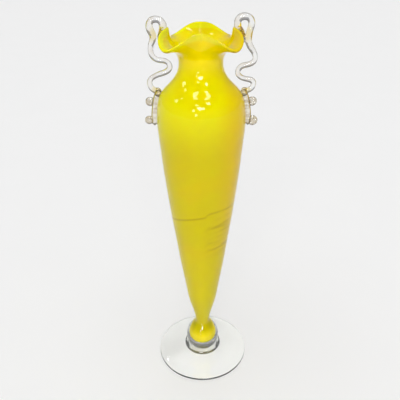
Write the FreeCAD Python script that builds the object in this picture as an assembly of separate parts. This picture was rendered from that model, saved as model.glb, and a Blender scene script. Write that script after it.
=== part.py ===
import FreeCAD, Part
import math
import os

# A footed flower vase of hot-worked glass. An opaque yellow lining stands inside a thin clear casing.
# The casing swells from a narrow stem to a high shoulder, draws in to a neck and opens in a ruffled lip.
# Below the stem it ends in a clear knop round the closed bulb of the lining. The knop stands on a clear
# collar and the collar on a clear disc foot. A clear thread leaves each side of the lip at a high point,
# closes a loop there and bends loosely down to the shoulder. A crimped trail with two pinched round tabs
# runs on down the shoulder under each thread.
# The origin is the centre of the resting plane of the foot. Z is up, X runs from handle to handle and Y
# from the front of the vase to its back. Lengths are in millimetres.

# Heights of the parts of the vase, each standing on the one before. The cavity's floor is its rise above the
# stem, and the loops' tops are their rise above the lip's high points.
FOOT_HEIGHT = 5.6
COLLAR_HEIGHT = 6.9
KNOP_HEIGHT = 34.0
BELLY_HEIGHT = 251.5
SHOULDER_HEIGHT = 53.0
LIP_HEIGHT = 22.9
CAVITY_RISE = 9.5
RUFFLE_RISE = 6.2
BACK_DROOP = 2.2
LOOP_RISE = 10.2

# Radii and walls of the body.
STEM_RADIUS = 8.1
BODY_RADIUS = 41.9
NECK_RADIUS = 20.0
LIP_RADIUS = 38.8
RUFFLE_REACH = 7.3
KNOP_RADIUS = 18.9
BULB_RADIUS = 10.4
CASING_WALL = 1.3
LINING_WALL = 1.8

# Foot and collar.
FOOT_RADIUS = 52.4
FOOT_EDGE = 2.4
FOOT_HOLLOW = 1.2
COLLAR_RADIUS = 21.3
KNOP_SEAT_RADIUS = 15.5

# Handles and trails.
THREAD_RADIUS = 2.4
HANDLE_REACH = 17.0
TRAIL_RADIUS = 2.7
TRAIL_LENGTH = 28.6
TAB_RADIUS = 4.2
TAB_REACH = 11.3
TAB_WALL = 2.6

# Outlines of the body. The first share of a pair is of the way from the narrow radius to the wide one,
# and the second is of the rise of that stretch.
KNOP_SHARES = ((0.91, 0.12), (1.0, 0.30), (0.945, 0.47), (0.76, 0.64), (0.43, 0.80), (0.14, 0.91), (0.0, 1.0))
BELLY_SHARES = ((0.18, 0.114), (0.33, 0.232), (0.46, 0.344), (0.565, 0.451), (0.67, 0.553), (0.76, 0.65),
                (0.84, 0.742), (0.905, 0.83), (0.96, 0.915), (1.0, 1.0))
SHOULDER_SHARES = ((0.95, 0.26), (0.86, 0.41), (0.70, 0.52), (0.44, 0.63), (0.23, 0.73), (0.075, 0.84), (0.0, 1.0))
BULB_SHARES = ((0.52, 0.03), (0.88, 0.11), (1.0, 0.24), (0.94, 0.38), (0.78, 0.52), (0.66, 0.68), (0.63, 0.84))
BULB_FLOOR_SHARE = 0.13
CAVITY_START_SHARE = 0.25

# Lip. The guides are the shares of its spread and rise that set how soon the wall leaves the upright.
RUFFLES = 4
LIP_POINTS = 32
LIP_RING_SHARES = (0.0, 0.16, 0.34, 0.52, 0.68, 0.84, 1.0)
RUFFLE_LEAN_SHARE = 0.11
RUFFLE_FULL_SHARE = 0.12
RUFFLE_SHARP_SHARE = 0.18
FIRST_GUIDE_SHARE = 0.48
GUIDE_RADIUS_SHARE = 0.59
GUIDE_RADIUS_SWING_SHARE = -0.09
GUIDE_HEIGHT_SHARE = 0.58
GUIDE_HEIGHT_SWING_SHARE = 0.08

# Foot and collar.
REST_INNER_SHARE = 0.84
EDGE_ROUND_SHARE = 0.016
FOOT_SEAT_SHARE = 0.36
FOOT_SLOPE_SHARES = (0.68, 0.30)
HOLLOW_SHARES = (0.50, 0.75)
COLLAR_SEAT_SHARE = 0.80
COLLAR_SHARES = ((0.93, 0.24), (1.0, 0.58), (0.94, 0.86))

# Routes of the threads. The first share of a pair is of the reach out from the slanted line between the seat
# on the shoulder and the lip's high point, and the second is of the rise from the seat to the loop's top. A lip
# drop has its share of the way up the lip, then its stand off the wall, half width and half height as shares of
# the thread.
LEFT_ROUTE_SHARES = ((0.114, 0.925), (0.25, 0.958), (0.466, 0.97), (0.687, 0.952), (0.762, 0.9), (0.693, 0.84),
                     (0.566, 0.785), (0.521, 0.733), (0.59, 0.667), (0.598, 0.58), (0.472, 0.505),
                     (0.19, 0.46), (-0.156, 0.447), (-0.405, 0.408), (-0.468, 0.36), (-0.352, 0.31),
                     (-0.059, 0.276), (0.321, 0.234), (0.526, 0.182), (0.519, 0.126), (0.382, 0.07))
RIGHT_ROUTE_SHARES = ((0.068, 0.955), (0.225, 0.99), (0.45, 1.0), (0.655, 0.98), (0.739, 0.925), (0.659, 0.853),
                      (0.559, 0.78), (0.498, 0.706), (0.547, 0.64), (0.676, 0.577), (0.775, 0.512),
                      (0.721, 0.441), (0.501, 0.4), (0.151, 0.38), (-0.108, 0.34), (-0.199, 0.276),
                      (-0.065, 0.222), (0.271, 0.192), (0.573, 0.155), (0.519, 0.085))
HANDLE_SEAT_SHARE = 0.535
THREAD_SEAT_SHARE = 0.70
LEFT_LIP_SEAT_SHARES = (0.76, 0.88, 1.0)
RIGHT_LIP_SEAT_SHARES = (0.66, 0.78, 0.89, 1.0)
LEFT_DROP_SHARES = (0.86, 0.80, 1.30, 2.60)
RIGHT_DROP_SHARES = (0.84, 0.92, 1.60, 3.00)
SHOULDER_DROP_SHARES = (1.30, 1.50)

# Trails. Each tab has its share of the way down the trail and its share of the tab radius.
TRAIL_SEAT_SHARE = 0.85
TRAIL_STEP_SHARES = (0.0, 0.25, 0.50, 0.75, 1.0)
LEFT_TAB_SHARES = ((0.31, 1.02), (0.89, 0.97))
RIGHT_TAB_SHARES = ((0.315, 1.05), (0.92, 1.16))

AXIS = FreeCAD.Vector(0, 0, 1)
OUTWARD = FreeCAD.Vector(1, 0, 0)
BACKWARD = FreeCAD.Vector(0, 1, 0)
ORIGIN = FreeCAD.Vector(0, 0, 0)
FULL_TURN = 360
HALF_TURN = 180
HALF = 0.5
HALVINGS = 50
JOIN_SHARE = 0.0005
LEFT_SIDE = -1
RIGHT_SIDE = 1


def between(start, end, share):
    """Value at a share of the way from start to end."""
    return start + share * (end - start)


def placed(pair):
    """Point in the XZ plane for a (radius, height) pair."""
    return FreeCAD.Vector(pair[0], 0, pair[1])


def outline(pairs, first, last):
    """Smooth curve through (radius, height) pairs that starts and ends along the given directions."""
    points = [placed(pair) for pair in pairs]
    lengths = [0.0]
    for start, end in zip(points, points[1:]):
        lengths.append(lengths[-1] + start.distanceToPoint(end))
    starts = FreeCAD.Vector(first).normalize()
    ends = FreeCAD.Vector(last).normalize()
    curve = Part.BSplineCurve()
    curve.interpolate(Points=points, Parameters=lengths, InitialTangent=starts, FinalTangent=ends, Scale=False)
    return curve


def line(start, end):
    """Straight edge between two (radius, height) pairs."""
    return Part.makeLine(placed(start), placed(end))


def bow(start, middle, end):
    """Round arc through three (radius, height) pairs."""
    return Part.Arc(placed(start), placed(middle), placed(end)).toShape()


def turned(edges):
    """Solid turned about the upright axis from edges that close in the XZ plane."""
    return Part.Face(Part.Wire(edges)).revolve(ORIGIN, AXIS, FULL_TURN)


# Levels above the resting plane.
knop_floor = FOOT_HEIGHT + COLLAR_HEIGHT
stem_level = knop_floor + KNOP_HEIGHT
cavity_floor = stem_level + CAVITY_RISE
shoulder_level = stem_level + BELLY_HEIGHT
neck_level = shoulder_level + SHOULDER_HEIGHT
lip_level = neck_level + LIP_HEIGHT

# Outer outline of the casing, from the collar up to the neck.
wall = CASING_WALL + LINING_WALL
knop_pairs = [(KNOP_SEAT_RADIUS, knop_floor)] + [
    (between(STEM_RADIUS, KNOP_RADIUS, out), between(knop_floor, stem_level, up)) for out, up in KNOP_SHARES]
belly_pairs = [(between(STEM_RADIUS, BODY_RADIUS, out), between(stem_level, shoulder_level, up))
               for out, up in BELLY_SHARES]
shoulder_pairs = [(between(NECK_RADIUS, BODY_RADIUS, out), between(shoulder_level, neck_level, up))
                  for out, up in SHOULDER_SHARES]
knop_curve = outline(knop_pairs, OUTWARD + AXIS, AXIS)
body_curve = outline([knop_pairs[-1]] + belly_pairs + shoulder_pairs, AXIS, AXIS)


def body_place(height, depth):
    """Pair at a depth inside the body's outer surface, square to it at a height."""
    low = body_curve.FirstParameter
    high = body_curve.LastParameter
    for _ in range(HALVINGS):
        middle = between(low, high, HALF)
        if body_curve.value(middle).z < height:
            low = middle
        else:
            high = middle
    place = body_curve.value(low)
    along = body_curve.tangent(low)[0]
    return place.x - depth * along.z, place.z + depth * along.x


def inner_pairs(depth, floor):
    """Pairs at a depth inside the body for its outline's heights above a floor, the neck's last."""
    heights = [height for _, height in belly_pairs + shoulder_pairs[:-1] if height > floor]
    return [body_place(height, depth) for height in heights] + [(NECK_RADIUS - depth, neck_level)]


# The surface where casing and lining meet, and the cavity inside the lining.
meeting_stem = (STEM_RADIUS - CASING_WALL, stem_level)
meeting_neck = (NECK_RADIUS - CASING_WALL, neck_level)
bulb_floor = between(knop_floor, stem_level, BULB_FLOOR_SHARE)
bulb_pairs = [(0, bulb_floor)] + [
    (out * BULB_RADIUS, between(bulb_floor, stem_level, up)) for out, up in BULB_SHARES] + [meeting_stem]
bulb_curve = outline(bulb_pairs, OUTWARD, AXIS)
meeting_curve = outline([meeting_stem] + inner_pairs(CASING_WALL, stem_level), AXIS, AXIS)
cavity_start = body_place(cavity_floor + CAVITY_START_SHARE * BODY_RADIUS, wall)
cavity_pairs = [(0, cavity_floor), cavity_start] + inner_pairs(wall, cavity_start[1] + wall)
cavity_curve = outline(cavity_pairs, OUTWARD, AXIS)


def lip_guides(angle):
    """The four guide pairs of the lip's outer meridian at an angle."""
    leaned = angle - RUFFLE_LEAN_SHARE * math.sin(2 * angle)
    swing = math.cos(RUFFLES * leaned)
    double = math.cos(2 * RUFFLES * leaned)
    spread = LIP_RADIUS - NECK_RADIUS
    rise = lip_level - neck_level
    first_height = between(neck_level, lip_level, FIRST_GUIDE_SHARE)
    guide_radius = NECK_RADIUS + spread * (GUIDE_RADIUS_SHARE + GUIDE_RADIUS_SWING_SHARE * swing)
    guide_height = neck_level + rise * (GUIDE_HEIGHT_SHARE - GUIDE_HEIGHT_SWING_SHARE * swing)
    edge_radius = LIP_RADIUS - RUFFLE_REACH * (swing + RUFFLE_FULL_SHARE * double)
    edge_height = lip_level + RUFFLE_RISE * (swing - RUFFLE_SHARP_SHARE * double)
    edge_height -= BACK_DROOP * HALF * (1 - swing) * HALF * (1 + math.sin(angle))
    return ((NECK_RADIUS, neck_level), (NECK_RADIUS, first_height), (guide_radius, guide_height),
            (edge_radius, edge_height))


def lip_meridian(angle, share):
    """Pair on the lip's outer meridian and its direction there."""
    curve = Part.BezierCurve()
    curve.setPoles([placed(pair) for pair in lip_guides(angle)])
    place = curve.value(share)
    along = curve.tangent(share)[0]
    return place, along


def lip_wall(angle, share, depth):
    """Pair at a depth inside the lip's outer surface."""
    place, along = lip_meridian(angle, share)
    return place.x - depth * along.z, place.z + depth * along.x


def lip_bead(angle, turn, depth):
    """Pair on the rounded edge of the lip, a turn in degrees over from its outer side."""
    place, along = lip_meridian(angle, 1)
    inward = HALF * wall * (1 - math.cos(math.radians(turn))) + depth
    over = HALF * wall * math.sin(math.radians(turn))
    return place.x - inward * along.z + over * along.x, place.z + inward * along.x + over * along.z


def ring(pair_maker, stage, depth=0):
    """Closed smooth wire round the lip through the pairs that pair_maker gives for each angle."""
    points = []
    for step in range(LIP_POINTS):
        angle = 2 * math.pi * step / LIP_POINTS
        radius, height = pair_maker(angle, stage, depth)
        points.append(FreeCAD.Vector(radius * math.cos(angle), radius * math.sin(angle), height))
    curve = Part.BSplineCurve()
    curve.interpolate(Points=points, PeriodicFlag=True, Parameters=[float(step) for step in range(LIP_POINTS + 1)])
    return Part.Wire(curve.toShape())


def skin(rings):
    """Smooth faces through a row of rings."""
    return Part.makeLoft(rings, False, False).Faces


def closed(faces, outer_ring, inner_ring):
    """Solid from the skins of one glass layer of the lip and its flat ring face at the neck."""
    floor = Part.makeFace([outer_ring, inner_ring], "Part::FaceMakerBullseye")
    shell = Part.makeShell(faces + [floor])
    shell.sewShape()
    return Part.Solid(shell)


def lip_layers():
    """Ruffled lip as two solids, the casing's and the lining's, with one skin where they meet."""
    meeting_turn = math.degrees(math.acos(1 - 2 * CASING_WALL / wall))
    outer, meeting, inner = [[ring(lip_wall, share, depth) for share in LIP_RING_SHARES]
                             for depth in (0, CASING_WALL, wall)]
    crest = ring(lip_bead, meeting_turn)
    meeting_skin = skin(meeting + [crest])
    outer_bead = skin([outer[-1], ring(lip_bead, HALF * meeting_turn), crest])
    inner_bead = skin([crest, ring(lip_bead, between(meeting_turn, HALF_TURN, HALF)), inner[-1]])
    casing = closed(skin(outer) + outer_bead + meeting_skin, outer[0], meeting[0])
    lining = closed(meeting_skin + inner_bead + skin(inner), meeting[0], inner[0])
    return casing, lining


def vase_layers():
    """Clear casing with its knop, and yellow lining with its bulb, each joined to its part of the lip."""
    lip_casing, lip_lining = lip_layers()
    bulb, meeting = bulb_curve.toShape(), meeting_curve.toShape()
    casing = turned([line((0, knop_floor), knop_pairs[0]), knop_curve.toShape(), body_curve.toShape(),
                     line((NECK_RADIUS, neck_level), meeting_neck), meeting, bulb,
                     line((0, bulb_floor), (0, knop_floor))])
    lining = turned([bulb, meeting, line(meeting_neck, (NECK_RADIUS - wall, neck_level)), cavity_curve.toShape(),
                     line((0, cavity_floor), (0, bulb_floor))])
    join = JOIN_SHARE * wall
    return casing.fuse([lip_casing], join).Solids[0], lining.fuse([lip_lining], join).Solids[0]


def foot():
    """Disc with a rounded edge, a top that rises to the collar's seat and a shallow hollow beneath."""
    rest_outer = FOOT_RADIUS * (1 - EDGE_ROUND_SHARE)
    rest_inner = FOOT_RADIUS * REST_INNER_SHARE
    seat = FOOT_RADIUS * FOOT_SEAT_SHARE
    slope_out, slope_up = FOOT_SLOPE_SHARES
    hollow_out, hollow_up = HOLLOW_SHARES
    slope_middle = (FOOT_RADIUS * slope_out, between(FOOT_EDGE, FOOT_HEIGHT, slope_up))
    hollow_middle = (rest_inner * hollow_out, FOOT_HOLLOW * hollow_up)
    return turned([
        bow((rest_outer, 0), (FOOT_RADIUS, HALF * FOOT_EDGE), (rest_outer, FOOT_EDGE)),
        bow((rest_outer, FOOT_EDGE), slope_middle, (seat, FOOT_HEIGHT)),
        line((seat, FOOT_HEIGHT), (0, FOOT_HEIGHT)), line((0, FOOT_HEIGHT), (0, FOOT_HOLLOW)),
        bow((0, FOOT_HOLLOW), hollow_middle, (rest_inner, 0)), line((rest_inner, 0), (rest_outer, 0))])


def stem_collar():
    """Rounded collar that stands on the foot and carries the knop."""
    seat = (COLLAR_SEAT_SHARE * COLLAR_RADIUS, FOOT_HEIGHT)
    side = [(out * COLLAR_RADIUS, between(FOOT_HEIGHT, knop_floor, up)) for out, up in COLLAR_SHARES]
    side_curve = outline([seat] + side + [knop_pairs[0]], OUTWARD + AXIS, AXIS - OUTWARD)
    return turned([line((0, FOOT_HEIGHT), seat), side_curve.toShape(), line(knop_pairs[0], (0, knop_floor)),
                   line((0, knop_floor), (0, FOOT_HEIGHT))])


def sided(pair, side):
    """Point in the plane of the handles for an (out, height) pair on the given side."""
    return FreeCAD.Vector(side * pair[0], 0, pair[1])


def rod(points, radius):
    """Round glass thread with rounded ends through the points."""
    curve = Part.BSplineCurve()
    curve.interpolate(Points=points)
    section = Part.Circle(points[0], curve.tangent(curve.FirstParameter)[0], radius)
    swept = Part.Wire(curve.toShape()).makePipeShell([Part.Wire(section.toShape())], True, False)
    return swept.fuse([Part.makeSphere(radius, end) for end in (points[0], points[-1])])


def drop(centre, half_width, half_height):
    """Upright drop of glass, turned about its own middle."""
    low = centre - half_height * AXIS
    high = centre + half_height * AXIS
    side = Part.Arc(low, centre + half_width * OUTWARD, high).toShape()
    return Part.Face(Part.Wire([side, Part.makeLine(high, low)])).revolve(centre, AXIS, FULL_TURN)


def tab(centre, radius):
    """Pinched round tab with flat faces and a rounded edge, square to the front of the vase."""
    half_wall = HALF * TAB_WALL * BACKWARD
    shoulder = (radius - HALF * TAB_WALL) * OUTWARD
    front_rim = centre + shoulder - half_wall
    back_rim = centre + shoulder + half_wall
    sides = [Part.makeLine(centre - half_wall, front_rim),
             Part.Arc(front_rim, centre + radius * OUTWARD, back_rim).toShape(),
             Part.makeLine(back_rim, centre + half_wall),
             Part.makeLine(centre + half_wall, centre - half_wall)]
    return Part.Face(Part.Wire(sides)).revolve(centre, BACKWARD, FULL_TURN)


def seated(shape, carriers):
    """Main solid of a shape cut to lie on the pieces that carry it."""
    for carrier in carriers:
        shape = shape.cut(carrier)
    return max(shape.Solids, key=lambda solid: solid.Volume)


seat_height = between(shoulder_level, neck_level, 1 - HANDLE_SEAT_SHARE)
high_radius, high_height = lip_guides(0)[-1]
loop_height = high_height + LOOP_RISE


def handle(side, route_shares, lip_seat_shares, drop_shares, carriers):
    """Thread from the lip's high point, through a loop and bends, to the shoulder."""
    stand = THREAD_SEAT_SHARE * THREAD_RADIUS
    lip_seat = [lip_wall(0, share, -stand) for share in lip_seat_shares]
    shoulder_seat = body_place(seat_height, -stand)
    route = [(between(shoulder_seat[0], high_radius, up) + out * HANDLE_REACH,
              between(seat_height, loop_height, up)) for out, up in route_shares]
    thread = rod([sided(pair, side) for pair in lip_seat + route + [shoulder_seat]], THREAD_RADIUS)
    drop_stand, drop_width, drop_height = [share * THREAD_RADIUS for share in drop_shares[1:]]
    lip_drop = drop(sided(lip_wall(0, drop_shares[0], -drop_stand), side), drop_width, drop_height)
    ball_stand, ball_radius = [share * THREAD_RADIUS for share in SHOULDER_DROP_SHARES]
    shoulder_drop = Part.makeSphere(ball_radius, sided(body_place(seat_height, -ball_stand), side))
    return seated(thread.fuse([lip_drop, shoulder_drop]), carriers)


def trail(side, tab_shares, carriers):
    """Crimped trail down the shoulder, with its pinched tabs."""
    stand = TRAIL_SEAT_SHARE * TRAIL_RADIUS
    steps = [body_place(seat_height - share * TRAIL_LENGTH, -stand) for share in TRAIL_STEP_SHARES]
    strip = rod([sided(pair, side) for pair in steps], TRAIL_RADIUS)
    tabs = []
    for down, size in tab_shares:
        radius = size * TAB_RADIUS
        tabs.append(tab(sided(body_place(seat_height - down * TRAIL_LENGTH, radius - TAB_REACH), side), radius))
    return seated(strip.fuse(tabs), carriers)


clear_casing, yellow_lining = vase_layers()
layers = [clear_casing, yellow_lining]
left_handle = handle(LEFT_SIDE, LEFT_ROUTE_SHARES, LEFT_LIP_SEAT_SHARES, LEFT_DROP_SHARES, layers)
right_handle = handle(RIGHT_SIDE, RIGHT_ROUTE_SHARES, RIGHT_LIP_SEAT_SHARES, RIGHT_DROP_SHARES, layers)
nodes = {
    "yellow_lining": yellow_lining,
    "clear_casing": clear_casing,
    "stem_collar": stem_collar(),
    "foot": foot(),
    "left_handle": left_handle,
    "right_handle": right_handle,
    "left_crimped_trail": trail(LEFT_SIDE, LEFT_TAB_SHARES, [clear_casing, left_handle]),
    "right_crimped_trail": trail(RIGHT_SIDE, RIGHT_TAB_SHARES, [clear_casing, right_handle]),
}
os.makedirs("parts", exist_ok=True)
for name, shape in nodes.items():
    shape.exportStep(f"parts/{name}.step")
    print(name, shape.isValid(), len(shape.Faces), shape.BoundBox)
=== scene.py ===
"""Looks for a footed flower vase of hot-worked glass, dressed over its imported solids.

An opaque yellow lining stands inside a clear casing that swells from a clear knop to a high shoulder and
opens in a ruffled lip. Two looped clear threads run from the lip to the shoulder, a crimped trail runs on
under each of them, and a clear collar and disc foot carry the whole. Sizes are in millimetres until a mesh
is made, and Blender's own numbers are in metres.
"""

import logging
import math
from abc import ABC, abstractmethod
from collections.abc import Sequence
from dataclasses import dataclass, replace
from enum import Enum

import bpy
import numpy as np
from mathutils import Matrix, Vector
from mathutils.bvhtree import BVHTree


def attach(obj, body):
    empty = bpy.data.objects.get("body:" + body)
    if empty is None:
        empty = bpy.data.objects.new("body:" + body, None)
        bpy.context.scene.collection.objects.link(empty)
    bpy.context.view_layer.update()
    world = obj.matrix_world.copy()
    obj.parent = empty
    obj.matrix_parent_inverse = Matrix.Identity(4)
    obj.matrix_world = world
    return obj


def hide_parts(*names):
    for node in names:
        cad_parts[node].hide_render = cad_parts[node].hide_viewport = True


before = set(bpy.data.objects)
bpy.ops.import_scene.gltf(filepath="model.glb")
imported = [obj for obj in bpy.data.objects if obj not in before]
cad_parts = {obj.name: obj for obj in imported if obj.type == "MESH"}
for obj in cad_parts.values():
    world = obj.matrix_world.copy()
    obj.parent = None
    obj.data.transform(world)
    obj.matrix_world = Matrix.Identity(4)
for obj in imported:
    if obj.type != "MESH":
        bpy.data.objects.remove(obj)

LOG = logging.getLogger("vase")
METRE = 0.001
AROUND = 224
POLE = 1e-6
BODY = "root"

Pair = tuple[float, float]
Triple = tuple[float, float, float]
Colour = tuple[float, float, float, float]
Array = np.ndarray
Rows = Sequence[Sequence[float]]
Rings = list[np.ndarray]
Socket = bpy.types.NodeSocket
Tree = bpy.types.NodeTree
Material = bpy.types.Material
Piece = bpy.types.Object


class Side(Enum):
    """Side of the vase that a thread or a trail is on, as the sign of its X."""

    LEFT = -1
    RIGHT = 1

    def place(self, pair: Sequence[float]) -> Array:
        """Point on this side, in the plane of the handles, for an (out, height) pair."""
        return np.array([self.value * pair[0], 0.0, pair[1]])


class Slot(Enum):
    """Material slots of the record that the pieces take their finish from."""

    LINING = "opaque_yellow_glass"
    CASING = "clear_casing_glass"
    FOOT = "clear_foot_glass"
    THREAD = "clear_thread_glass"


def between(start: float, end: float, share: float) -> float:
    """Value at a share of the way from start to end."""
    return start + share * (end - start)


def spread(shares: Sequence[Pair], radii: Pair, levels: Pair) -> list[Pair]:
    """(radius, height) pairs at shares of the way between two radii and between two levels."""
    return [(between(*radii, out), between(*levels, up)) for out, up in shares]


def grey(level: float) -> Colour:
    """Grey of a level, as a colour."""
    return level, level, level, 1.0


def spokes(count: int = AROUND) -> Array:
    """Angles evenly spread round a circle, in radians."""
    return np.linspace(0.0, 2 * math.pi, count, endpoint=False)


def unit(rows: Array) -> Array:
    """Rows brought to length 1."""
    return rows / np.linalg.norm(rows, axis=1)[:, None]


def inward(along: Array) -> Array:
    """Directions square to an outline that goes up the outer side, towards the axis."""
    return np.stack([-along[:, 1], along[:, 0]], 1)


class SmoothOutline:
    """Smooth curve through points, with a set direction at each end.

    Args:
        points: places that the curve passes through, in millimetres.
        first: direction in which it leaves the first point.
        last: direction in which it reaches the last point.
    """

    def __init__(self, points: Rows, first: Sequence[float], last: Sequence[float]) -> None:
        """Solves the curve's slopes, so that it bends steadily from end to end."""
        self.points = np.array(points, float)
        steps = np.linalg.norm(np.diff(self.points, axis=0), axis=1)
        self.marks = np.concatenate([[0.0], np.cumsum(steps)])
        count = len(self.points)
        weights = np.eye(count)
        sums = np.zeros_like(self.points)
        sums[0] = np.array(first, float) / np.linalg.norm(first)
        sums[-1] = np.array(last, float) / np.linalg.norm(last)
        for here in range(1, count - 1):
            before, after = steps[here - 1], steps[here]
            weights[here, here - 1 : here + 2] = (1 / before, 2 / before + 2 / after, 1 / after)
            rise_before = (self.points[here] - self.points[here - 1]) / before**2
            rise_after = (self.points[here + 1] - self.points[here]) / after**2
            sums[here] = 3 * (rise_before + rise_after)
        self.slopes = np.linalg.solve(weights, sums)

    def places(self, count: int) -> Array:
        """Places evenly spread along the curve.

        Args:
            count: how many places to give.

        Returns:
            One row for each place, from the first point to the last.
        """
        along = np.linspace(0.0, self.marks[-1], count)
        here = np.clip(np.searchsorted(self.marks, along, side="right") - 1, 0, len(self.marks) - 2)
        step = (self.marks[here + 1] - self.marks[here])[:, None]
        part = (along - self.marks[here])[:, None] / step
        start = (2 * part**3 - 3 * part**2 + 1) * self.points[here]
        end = (3 * part**2 - 2 * part**3) * self.points[here + 1]
        leave = (part**3 - 2 * part**2 + part) * step * self.slopes[here]
        reach = (part**3 - part**2) * step * self.slopes[here + 1]
        return start + end + leave + reach


def sideways(places: Array, depth: float) -> Array:
    """Outline moved inwards, square to itself.

    Args:
        places: (radius, height) rows, going up the outer side.
        depth: how far to move it towards the axis.

    Returns:
        The moved rows.
    """
    return places + depth * inward(unit(np.gradient(places, axis=0)))


def strand(points: Rows, count: int) -> Array:
    """Places on a smooth curve through points, which starts and ends along its first and last chord."""
    first, last = np.subtract(points[1], points[0]), np.subtract(points[-1], points[-2])
    return SmoothOutline(points, first, last).places(count)


def stretched(values: Sequence[float], count: int) -> Array:
    """Evenly spaced values, spread over another count of places."""
    return np.interp(np.linspace(0.0, 1.0, count), np.linspace(0.0, 1.0, len(values)), values)


def turned(places: Rows) -> Rings:
    """Rings of points round the upright axis, one for each (radius, height) row."""
    circle = np.stack([np.cos(spokes()), np.sin(spokes())], 1)
    return [np.column_stack([radius * circle, np.full(AROUND, height)]) for radius, height in places]


def linked(name: str, data: bpy.types.ID) -> Piece:
    """New object in the scene that shows the given data."""
    made = bpy.data.objects.new(name, data)
    bpy.context.scene.collection.objects.link(made)
    return made


def new_mesh(name: str, vertices: Array, faces: Sequence[Sequence[int]],
             sharp_degrees: float = 180.0) -> Piece:
    """Smooth mesh object, linked to the scene.

    Args:
        name: the object's name.
        vertices: places in millimetres.
        faces: corners of each face, counter-clockwise from outside.
        sharp_degrees: edges that turn by more than this stay sharp.

    Returns:
        The new object.
    """
    mesh = bpy.data.meshes.new(name)
    mesh.from_pydata((vertices * METRE).tolist(), [], [list(face) for face in faces])
    mesh.polygons.foreach_set("use_smooth", [True] * len(mesh.polygons))
    mesh.set_sharp_from_angle(angle=math.radians(sharp_degrees))
    mesh.update()
    return linked(name, mesh)


def skin(name: str, rings: Sequence[Array], sharp_degrees: float = 180.0) -> Piece:
    """Closed mesh through rings of points. A ring that shrinks to nothing becomes one pole.

    Args:
        name: the object's name.
        rings: rings of points in millimetres, each with the same count.
        sharp_degrees: edges that turn by more than this stay sharp.

    Returns:
        The new object.
    """
    vertices: Rings = []
    rows: list[list[int]] = []
    for ring in rings:
        pole = float(np.ptp(ring, axis=0).max()) < POLE
        first = sum(len(part) for part in vertices)
        vertices.append(ring[:1] if pole else ring)
        rows.append([first] * len(ring) if pole else list(range(first, first + len(ring))))
    faces = []
    for low, high in zip(rows, rows[1:]):
        for here in range(len(low)):
            then = (here + 1) % len(low)
            faces.append(list(dict.fromkeys([low[here], low[then], high[then], high[here]])))
    return new_mesh(name, np.concatenate(vertices), faces, sharp_degrees)


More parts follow.
